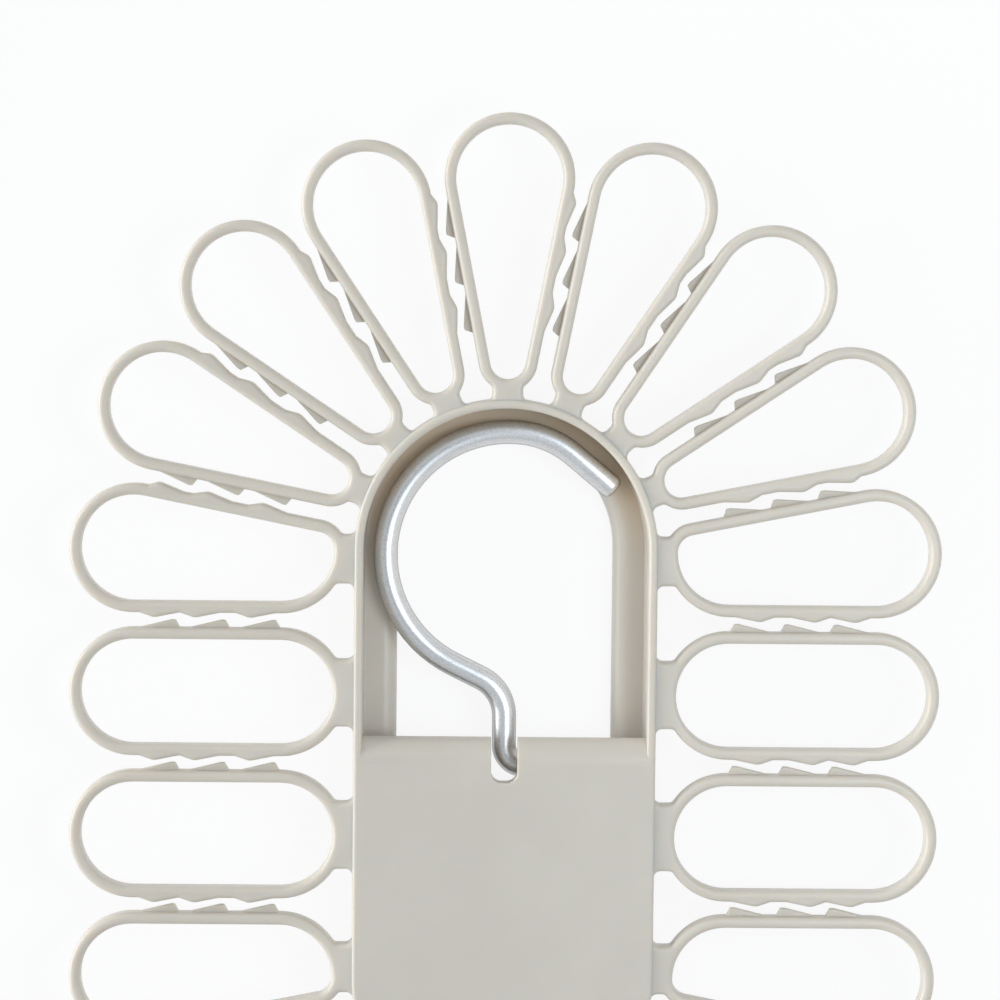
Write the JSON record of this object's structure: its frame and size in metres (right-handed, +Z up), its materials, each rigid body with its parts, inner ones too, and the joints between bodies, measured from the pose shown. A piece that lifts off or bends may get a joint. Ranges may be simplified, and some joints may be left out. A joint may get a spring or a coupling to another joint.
{
  "type": "sock drying rack",
  "caption": "Oval sock drying rack: a ring of toothed plastic loops that grip socks in the slits between them, round a frame with a folding wire hook.",
  "frame": {"origin": "on the surface that the rack lies on, under the middle of the rack", "axes": "+Z up out of the rack's front, +Y along its length towards the window end, +X to the right seen from the front"},
  "size_m": [0.191, 0.2854, 0.018],
  "materials": {
    "moulding": "satin moulded polypropylene, warm light grey",
    "wire": "satin bent wire"
  },
  "bodies": {
    "rack": {"frame_shell": "moulding", "centre_plate": "moulding", "top_loop_1": "moulding", "top_loop_2": "moulding", "top_loop_3": "moulding", "top_loop_4": "moulding", "top_loop_5": "moulding", "top_loop_6": "moulding", "top_loop_7": "moulding", "right_loop_1": "moulding", "right_loop_2": "moulding", "right_loop_3": "moulding", "right_loop_4": "moulding", "bottom_loop_1": "moulding", "bottom_loop_2": "moulding", "bottom_loop_3": "moulding", "bottom_loop_4": "moulding", "bottom_loop_5": "moulding", "bottom_loop_6": "moulding", "bottom_loop_7": "moulding", "left_loop_1": "moulding", "left_loop_2": "moulding", "left_loop_3": "moulding", "left_loop_4": "moulding"},
    "hook": {"hook": "wire"}
  },
  "joints": [
    {"name": "hook_fold", "type": "hinge", "parent": "rack", "child": "hook", "pos_m": [0, -0.0009, 0.009], "axis": [1, 0, 0], "range_deg": [0, 90]}
  ]
}
